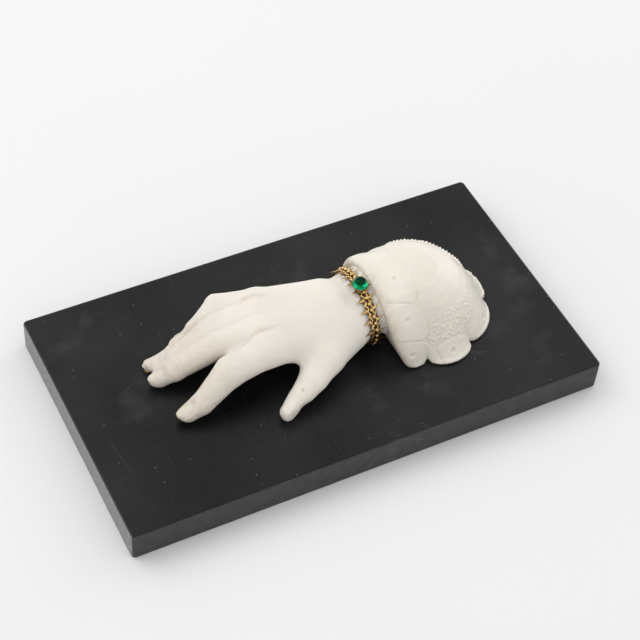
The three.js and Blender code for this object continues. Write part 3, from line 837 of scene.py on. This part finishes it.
def loft(sections, first, last):
    sections = np.asarray(sections)
    rows, count, _ = sections.shape
    points = np.concatenate([sections.reshape(-1, 3), [first, last]])
    faces = []
    for r in range(rows - 1):
        for c in range(count):
            d = (c + 1) % count
            faces.append((r * count + c, r * count + d, (r + 1) * count + d, (r + 1) * count + c))
    for c in range(count):
        d = (c + 1) % count
        faces.append((d, c, rows * count))
        faces.append(((rows - 1) * count + c, (rows - 1) * count + d, rows * count + 1))
    return points, faces


def gather(bodies):
    points, faces, soil, start = [], [], [], 0
    for body_points, body_faces, body_soil in bodies:
        points.append(body_points)
        soil.append(np.broadcast_to(body_soil, len(body_points)))
        faces += [tuple(start + i for i in face) for face in body_faces]
        start += len(body_points)
    return np.concatenate(points), faces, np.concatenate(soil)


def circle(count):
    turn = np.linspace(0, 2 * math.pi, count + 1)[:-1]
    return np.cos(turn), np.sin(turn)


def spun(points, turn):
    across, along = math.cos(turn), math.sin(turn)
    return points @ np.array([[across, along, 0], [-along, across, 0], [0, 0, 1]])


def turned_rows(outline, count):
    x, y = circle(count)
    return [np.stack([r * x, r * y, np.full(count, z)], 1) for r, z in outline]


def leaf(length, width, rise):
    along = np.linspace(0.05, 0.95, 9)
    spread = (1 - along) ** 1.1
    half = width / 2 * spread / spread.max()
    side, top = circle(8)
    sections = []
    for share, reach in zip(along, half):
        thick = (0.2 - 0.1 * share) * top - 0.45 * np.abs(reach * side) + rise * share ** 1.5
        sections.append(np.stack([np.full(8, share * length), reach * side, thick], 1))
    points, faces = loft(sections, (0, 0, 0), (length, 0, rise))
    # painted shade: each leaf is dark underneath and towards its edges, and light on its ridge
    section_soil = np.where(top < -0.1, 0.95, 0.85 * side ** 2)
    return points, faces, np.r_[np.tile(section_soil, len(along)), 0.8, 0.1]


def berry(radius):
    rows = np.radians([-65, -35, 0, 35, 65])
    outline = [(radius * np.cos(row), radius * np.sin(row)) for row in rows]
    points, faces = loft(turned_rows(outline, 10), (0, 0, -radius), (0, 0, radius))
    # painted shade: the lower half of each berry is darker
    return points, faces, np.clip(0.45 - 0.9 * points[:, 2] / radius, 0, 0.95)


print("leaf and berry are lofts of small sections")

# %% [markdown]
# ### Soldering the bracelet
# The band and the wires are closed loops with one profile all the way round. Leaves and berries are set on
# them, starting from the stone. Their colour darkens on undersides and edges and towards the slab, which is
# partly tarnish and partly painted shade. Copies of one sprig's mesh would do, but a row of numbers for each
# leaf is easier to change.

# %% Bracelet
sprig_leaves = [
    (0.0, 1, 3.6, 2.2, 0.2, 12, 1.3),
    (1.5, 1, 2.4, 1.7, 0.3, 38, 0.5),
    (-1.2, 1, 2.1, 1.5, 0.3, -30, 0.6),
    (0.0, -1, 3.7, 1.5, 1.9, -32, 1.2),
    (1.4, -1, 2.4, 1.7, 0.3, -12, 0.4),
    (-1.2, -1, 2.0, 1.5, 0.3, 30, 0.4),
]
sprigs = 20
leaf_lift = 0.55
berry_radius, berry_lift, berry_spacing = 0.8, 0.8, 2.5
band_profile = [(-1.9, 0), (-2.0, 0.25), (-1.7, 0.36), (0, 0.25), (1.7, 0.36), (2.0, 0.25), (1.9, 0)]
band_rows = 240
wire_sway = 0.35
sprig_spacing = ring_length / sprigs


# partly tarnish, partly painted shade: darker towards the slab
def low_tarnish_and_shade(points):
    return np.clip((20 - points[:, 2]) / 14, 0, 0.7)


def closed_band(profile, sway):
    profile = np.asarray(profile)
    count = len(profile)
    rows = []
    faces = []
    for i in range(band_rows):
        distance = stone_at + ring_length * i / band_rows
        shift = sway * math.sin(2 * math.pi * (distance - stone_at) / sprig_spacing * 2)
        rows.append(seat(np.stack([profile[:, 0] + shift, np.zeros(count), profile[:, 1]], 1), distance))
        after = (i + 1) % band_rows
        for c in range(count):
            d = (c + 1) % count
            faces.append((i * count + c, after * count + c, after * count + d, i * count + d))
    return np.concatenate(rows), faces


# painted shade: the band is dark all over, so the gaps between leaves look shaded
bodies = [(*closed_band(band_profile, 0.0), 0.92)]
x, y = circle(6)
for edge in (1, -1):
    points, faces = closed_band(np.stack([0.34 * x + edge, 0.3 * y + 0.5], 1), wire_sway)
    # painted shade: each wire is light on top and dark underneath
    bodies.append((points, faces, np.tile(0.45 - 0.45 * y, band_rows) + low_tarnish_and_shade(points)))

for n in range(sprigs):
    here = stone_at + sprig_spacing * (n + 0.5)
    for along, edge, length, width, rise, sweep, start in sprig_leaves:
        points, faces, soil = leaf(length, width, rise)
        points = spun(points, math.radians(sweep if edge > 0 else 180 - sweep))
        points = seat(points + [edge * start, 0, leaf_lift], here + along)
        bodies.append((points, faces, soil + low_tarnish_and_shade(points)))
berries = round(ring_length / berry_spacing)
for n in range(berries):
    points, faces, soil = berry(berry_radius)
    points = seat(points + [-0.2, 0, berry_lift], stone_at + ring_length * (n + 0.5) / berries)
    bodies.append((points, faces, soil + low_tarnish_and_shade(points)))
points, faces, soil = gather(bodies)
add_piece("leaf_bracelet", points, faces, gilt, "gilt", "bracelet_strip", soil=soil)
print(len(bodies), "soldered bodies on the bracelet")

# %% [markdown]
# ## The stone and its setting
# The stone is green paste, cut round with a flat table, in a gilt cup with small claws over bright foil.
# Its facets could be modelled one by one, but a cut stone is convex, so they come by themselves as the hull
# of the corners of the table, the crown, the girdle and the point below.

# %% Setting axes
axis = unit(stone_axis)
side_way = unit(np.cross([1.0, 0, 0], axis))
setting = np.stack([np.cross(side_way, axis), side_way, axis])
setting_at = node_points("stone").mean(0)


def in_setting(points):
    return (points - setting_at) @ setting.T


def set_down(points):
    return points @ setting + setting_at


stone_local = in_setting(node_points("stone"))
stone_out = np.hypot(stone_local[:, 0], stone_local[:, 1])
stone_radius = stone_out.max()
stone_low, stone_high = stone_local[:, 2].min(), stone_local[:, 2].max()
girdle = stone_local[stone_out > stone_radius - 0.01][:, 2]
collet_low = in_setting(node_points("stone_collet"))[:, 2].min()
print("stone", round(2 * stone_radius, 2), "mm across and", round(stone_high - stone_low, 2), "mm deep")

# %% Paste stone
stone_wide = stone_radius + 0.1
belt = girdle.min() - 0.7
crown = stone_high - belt
crown_tint = (0.03, 0.42, 0.24, 1.0)

paste, shader, place = start_finish("green paste", {
    "Roughness": 0.02, "IOR": 1.55, "Specular Tint": crown_tint, "Transmission Weight": 1.0})
green = ramp(noise(place, 0.5, 2.0), (0.35, (0.004, 0.27, 0.115)), (0.7, (0.008, 0.40, 0.18)))
feed(shader, "Base Color", green)


def corners(count, radius, height, offset=0.0):
    angle = 2 * math.pi * (np.arange(count) + offset) / count
    return np.stack([radius * np.cos(angle), radius * np.sin(angle), np.full(count, height)], 1)


cut = np.concatenate([
    corners(8, stone_wide * 0.55, stone_high),
    corners(8, stone_wide * 0.84, belt + crown * 0.62, 0.5),
    corners(16, stone_wide, belt + 0.25),
    corners(16, stone_wide, belt),
    corners(8, stone_wide * 0.7, belt - 0.4, 0.5),
    corners(8, 0.4, belt - 0.75),
])
shape = bmesh.new()
for corner in set_down(cut):
    shape.verts.new(corner)
bmesh.ops.convex_hull(shape, input=shape.verts)
bmesh.ops.dissolve_limit(shape, angle_limit=math.radians(1), verts=shape.verts, edges=shape.edges)
shape.verts.index_update()
stone_corners = np.array([v.co for v in shape.verts])
stone_facets = [[v.index for v in face.verts] for face in shape.faces]
shape.free()
add_piece("green_stone", stone_corners, stone_facets, paste, "paste", "stone", smooth=False)

# %% [markdown]
# ### Cup and claws
# The cup is turned from one outline, up the outside, over the rim and down the inside under the stone.
# Six claws are bent over the crown. They could be filed from the rim, but each is its own small loft here,
# soldered on as a jeweller would do it.

# %% Collet and claws
claws = 6
cup_floor = collet_low - 0.2
cup_inside = belt - 1.05
cup_outline = [
    (1.9, cup_floor), (2.2, cup_floor + 0.1), (stone_wide + 0.14, belt - 0.3), (stone_wide + 0.24, belt),
    (stone_wide + 0.2, belt + 0.24), (stone_wide + 0.04, belt + 0.26), (stone_wide + 0.02, belt - 0.15),
    (stone_wide * 0.74, belt - 0.68), (0.5, cup_inside)]
claw_spine = [
    (stone_wide + 0.2, belt - 0.3, 0.2), (stone_wide + 0.26, belt + 0.2, 0.26),
    (stone_wide + 0.1, belt + 0.55, 0.24), (stone_wide - 0.12, belt + 0.75, 0.14)]
claw_foot = (stone_wide + 0.2, 0, belt - 0.45)
claw_tip = (stone_wide - 0.18, 0, belt + 0.8)

points, faces = loft(turned_rows(cup_outline, 48), (0, 0, cup_floor), (0, 0, cup_inside))
# the cup's colour darkens towards its floor, and the claws are dark all over
bodies = [(set_down(points), faces, np.clip(0.95 - 0.3 * (points[:, 2] - cup_floor), 0.3, 0.95))]
x, y = circle(6)
rows = [np.stack([r + thick * 0.7 * y, thick * x, z + thick * 0.7 * y], 1) for r, z, thick in claw_spine]
points, faces = loft(rows, claw_foot, claw_tip)
for n in range(claws):
    bodies.append((set_down(spun(points, 2 * math.pi * (n + 0.5) / claws)), faces, 0.8))
points, faces, soil = gather(bodies)
add_piece("stone_cup", points, faces, gilt, "gilt", "stone_collet", soil=soil)

# %% [markdown]
# ## Glue, plaster and foil
# Old glue holds the fingertips down and shows as a thin amber line. Plaster beds the cuff and the wrist,
# and bright foil behind the stone throws light back through it. Plain colours would nearly do for things
# this small, but glue and plaster vary a little, as cast things do. The foil is coloured in dark and bright
# panes, a painted reflection that makes the stone's facets show.

# %% Glue, plaster and foil finishes
amber, shader, place = start_finish("amber glue", {})
amber_tint = ramp(noise(place, 0.6, 2.0), (0.3, (0.60, 0.34, 0.08)), (0.7, (0.42, 0.20, 0.04)))
feed(shader, "Base Color", amber_tint)
feed(shader, "Roughness", ramp(noise(place, 1.5), (0.3, 0.15), (0.7, 0.35)))

plaster, shader, place = start_finish("setting plaster", {"Roughness": 0.9})
chalk = ramp(noise(place, 0.4, 4.0), (0.3, (0.80, 0.75, 0.66)), (0.7, (0.70, 0.65, 0.56)))
feed(shader, "Base Color", chalk)
relief(noise(place, 1.2, 4.0), 0.15, shader)

foil, shader, place = start_finish("bright foil", {"Metallic": 1.0, "Roughness": 0.2})
# painted reflection: dark and bright panes in the foil's colour stand in for facet reflections
painted_reflection_panes = put(place, "ShaderNodeTexVoronoi", {"Vector": place, "Scale": 0.6}).outputs["Color"]
pane_brightness = put(place, "ShaderNodeSeparateColor", {0: painted_reflection_panes}).outputs[0]
foil_painted_reflection = ramp(pane_brightness, (0.25, (0.05, 0.06, 0.06)), (0.7, (0.95, 0.96, 0.94)))
feed(shader, "Base Color", foil_painted_reflection)
relief(noise(place, 1.5), 0.2, shader)


def dress(node, finish):
    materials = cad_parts[node].data.materials
    materials.clear()
    materials.append(finish)


for node in ("wrist_cement", "cuff_cement"):
    dress(node, plaster)
print("finishes:", amber.name, "and", plaster.name, "and", foil.name)

# %% [markdown]
# ### Foil dish and dabs of glue
# The foil is a thin turned dish that follows the back of the stone. A flat disc of glue would do from far
# away, but glue creeps up what it touches, so each dab wavers in outline and climbs towards the finger. It
# lies under the pad, except on the ring finger, where it shows at the tip.

# %% Foil dish
dish_outline = [
    (0.4, belt - 0.84), (stone_wide * 0.7, belt - 0.48), (stone_wide * 0.97, belt - 0.06),
    (stone_wide * 0.98, belt - 0.12), (stone_wide * 0.72, belt - 0.55), (0.42, belt - 0.92)]
points, faces = loft(turned_rows(dish_outline, 32), (0, 0, belt - 0.84), (0, 0, belt - 0.92))
outward = [face[::-1] for face in faces]
add_piece("foil_dish", set_down(points), outward, foil, "foil", "stone_foil")

# %% Dabs of glue
dab_profile = ((1.0, 0.0), (0.97, 0.1), (0.88, 0.2), (0.75, 0.32), (0.6, 0.5), (0.3, 0.5))
dab_sides = 32
dab_turn = np.linspace(0, 2 * math.pi, dab_sides + 1)[:-1]
under_pad, at_tip = (0.8, 1.8), (0.9, 0.0)
for number, (digit, tip) in enumerate(tips.items()):
    share, setback = at_tip if digit == "ring" else under_pad
    packed = node_points(digit + "_glue")
    low, high = packed.min(0), packed.max(0)
    radius = (high[0] - low[0]) / 2 * share
    back = unit(np.array(tip.joint) - tip.end)
    middle = ((low + high) / 2 + back * setback)[:2]
    waver = 0.94 + 0.05 * np.sin(3 * dab_turn + number) + 0.03 * np.sin(5 * dab_turn + 2 * number)
    outline = radius * waver * np.stack(circle(dab_sides))
    rows = [np.column_stack([middle + step * outline.T, np.full(dab_sides, z)]) for step, z in dab_profile]
    points, faces = loft(rows, (*middle, 0.0), (*middle, dab_profile[-1][1]))
    add_piece(digit + "_dab", points, faces, amber, "glue", digit + "_glue")

# %% [markdown]
# ## Black marble
# The slab is polished on top, dusty and a little scratched, its sides are honed, and the end by the
# fingertips is left as the saw cut it. That end is coloured a lighter grey, partly its own sawn face and
# partly painted light from the window lamp on that side. Pale bluish smears on the top are partly real
# smudges and partly a painted reflection of the sky. Its imported shape stays. Three finishes would do, but
# one that tells the faces apart by their normals is simpler.

# %% Marble finish
marble, shader, place = start_finish("black marble", {"Specular IOR Level": 0.27})
facing = put(place, "ShaderNodeSeparateXYZ", {0: put(place, "ShaderNodeNewGeometry").outputs["Normal"]})
up = maths("GREATER_THAN", facing.outputs["Z"], 0.8)
sawn = maths("LESS_THAN", facing.outputs["X"], -0.8)


def mottled(per_mm, detail, dark_at, dark, light):
    return ramp(noise(place, per_mm, detail), (dark_at, dark), (0.7, light))


polished = mottled(0.02, 4.0, 0.35, (0.003, 0.003, 0.0035), (0.015, 0.015, 0.016))
honed = mottled(0.25, 4.0, 0.3, (0.035, 0.035, 0.036), (0.055, 0.055, 0.056))
# sawn end: partly its own grey face, partly painted light from the window side
sawn_grey_and_light = mottled(0.5, 5.0, 0.3, (0.18, 0.18, 0.18), (0.28, 0.28, 0.275))
colour = blend(up, honed, polished)
colour = blend(sawn, colour, sawn_grey_and_light)


def dust_of(per_mm, size, kept, strength):
    grains = put(place, "ShaderNodeTexVoronoi", {"Vector": place, "Scale": per_mm}, voronoi_dimensions="2D")
    shape = maths("LESS_THAN", grains.outputs["Distance"], size * per_mm)
    lottery = put(place, "ShaderNodeSeparateColor", {0: grains.outputs["Color"]}).outputs[0]
    chosen = maths("GREATER_THAN", lottery, 1 - kept)
    return times(times(shape, chosen), strength)


dust = maths("MAXIMUM", dust_of(0.09, 0.26, 0.28, 0.35), dust_of(0.3, 0.13, 0.22, 0.3))
colour = blend(times(dust, up), colour, (0.30, 0.30, 0.30))
# partly real smudges, partly a painted bluish reflection of the sky
smear_and_sheen = ramp(noise(place, 0.035, 3.0, 0.6), (0.60, 0.0), (0.76, 1.0))
colour = blend(times(smear_and_sheen, 0.05), colour, (0.40, 0.41, 0.43))
slant_feeds = {"Vector": place, "Rotation": (0, 0, 0.6), "Scale": (0.02, 0.07, 0.01)}
slant = put(place, "ShaderNodeMapping", slant_feeds).outputs["Vector"]
cracks = put(place, "ShaderNodeTexVoronoi", {"Vector": slant, "Scale": 1.0}, feature="DISTANCE_TO_EDGE")
hair = maths("LESS_THAN", cracks.outputs["Distance"], 0.004)
scratched = ramp(noise(place, 0.05, 1.0), (0.56, 0.0), (0.64, 1.0))
scratch = times(times(hair, scratched), 0.04)
colour = blend(scratch, colour, (0.35, 0.35, 0.35))
feed(shader, "Base Color", colour)
polish = ramp(noise(place, 0.06, 4.0), (0.3, 0.24), (0.7, 0.36))
feed(shader, "Roughness", blend(up, (0.5, 0.5, 0.5), polish))
relief(noise(place, 0.8, 4.0), 0.015, shader)
dress("slab", marble)
print("finish:", marble.name)

# %% [markdown]
# ## Floor, light and camera
# The piece lies on a plain pale table in soft light. A large lamp stands for a window behind it on the
# left, a weaker one for a white wall on the right, and a pale sky fills the rest. More lamps would do too,
# but each shows as a patch on the polished slab.

# %% Floor
mesh = bpy.data.meshes.new("table")
mesh.from_pydata([(-3, -3, 0), (3, -3, 0), (3, 3, 0), (-3, 3, 0)], [], [(0, 1, 2, 3)])
table = bpy.data.objects.new("table", mesh)
bpy.context.scene.collection.objects.link(table)
pale, shader, place = start_finish("pale table", {"Roughness": 0.9})
paper = ramp(noise(place, 0.004, 2.0), (0.3, (0.87, 0.87, 0.875)), (0.7, (0.885, 0.885, 0.89)))
feed(shader, "Base Color", paper)
mesh.materials.append(pale)
print("finish:", pale.name)

# %% Light
scene = bpy.context.scene
scene.view_settings.view_transform = "Standard"
sky = bpy.data.worlds.new("pale sky")
sky.use_nodes = True
background = sky.node_tree.nodes["Background"].inputs
background["Color"].default_value = (1.0, 1.0, 1.0, 1.0)
background["Strength"].default_value = 0.81
scene.world = sky


def lamp(name, place, size, watts):
    light = bpy.data.lights.new(name, "AREA")
    light.shape = "SQUARE"
    light.size = size
    light.energy = watts
    holder = bpy.data.objects.new(name, light)
    holder.location = place
    holder.rotation_euler = (-Vector(place)).to_track_quat("-Z", "Y").to_euler()
    scene.collection.objects.link(holder)


lamp("window", (-0.55, 0.6, 1.0), 0.9, 4.2)
lamp("white wall", (1.1, 0.3, 0.38), 0.9, 2.6)
print("two lamps and a pale sky")

# %% [markdown]
# ### Camera
# The camera stands where the photographer stood. It could be placed by eye, but numbers fitted to the
# edges of the slab come closer: its turn, tilt and roll, the spot that it aims at, its distance, and its
# focal length in pixels.

# %% Camera
turn, tilt, roll = (math.radians(v) for v in (-30.324, 48.924, 5.022))
aim = Vector((0.014028, 0.019677, 0.0))
distance = 0.722401
focal_pixels, picture_pixels, sensor_width = 1766.708, 640, 36.0

flat = math.cos(tilt)
back = Vector((math.sin(turn) * flat, -math.cos(turn) * flat, math.sin(tilt)))
level = Vector((math.cos(turn), math.sin(turn), 0.0))
rise = back.cross(level)
right = math.cos(roll) * level + math.sin(roll) * rise
above = -math.sin(roll) * level + math.cos(roll) * rise
camera = bpy.data.objects.new("camera", bpy.data.cameras.new("camera"))
facing = Matrix((right, above, back)).transposed().to_4x4()
camera.matrix_world = Matrix.Translation(aim + back * distance) @ facing
camera.data.sensor_width = sensor_width
camera.data.lens = focal_pixels * sensor_width / picture_pixels
scene.collection.objects.link(camera)
scene.camera = camera
print("lens", round(camera.data.lens, 1), "mm")
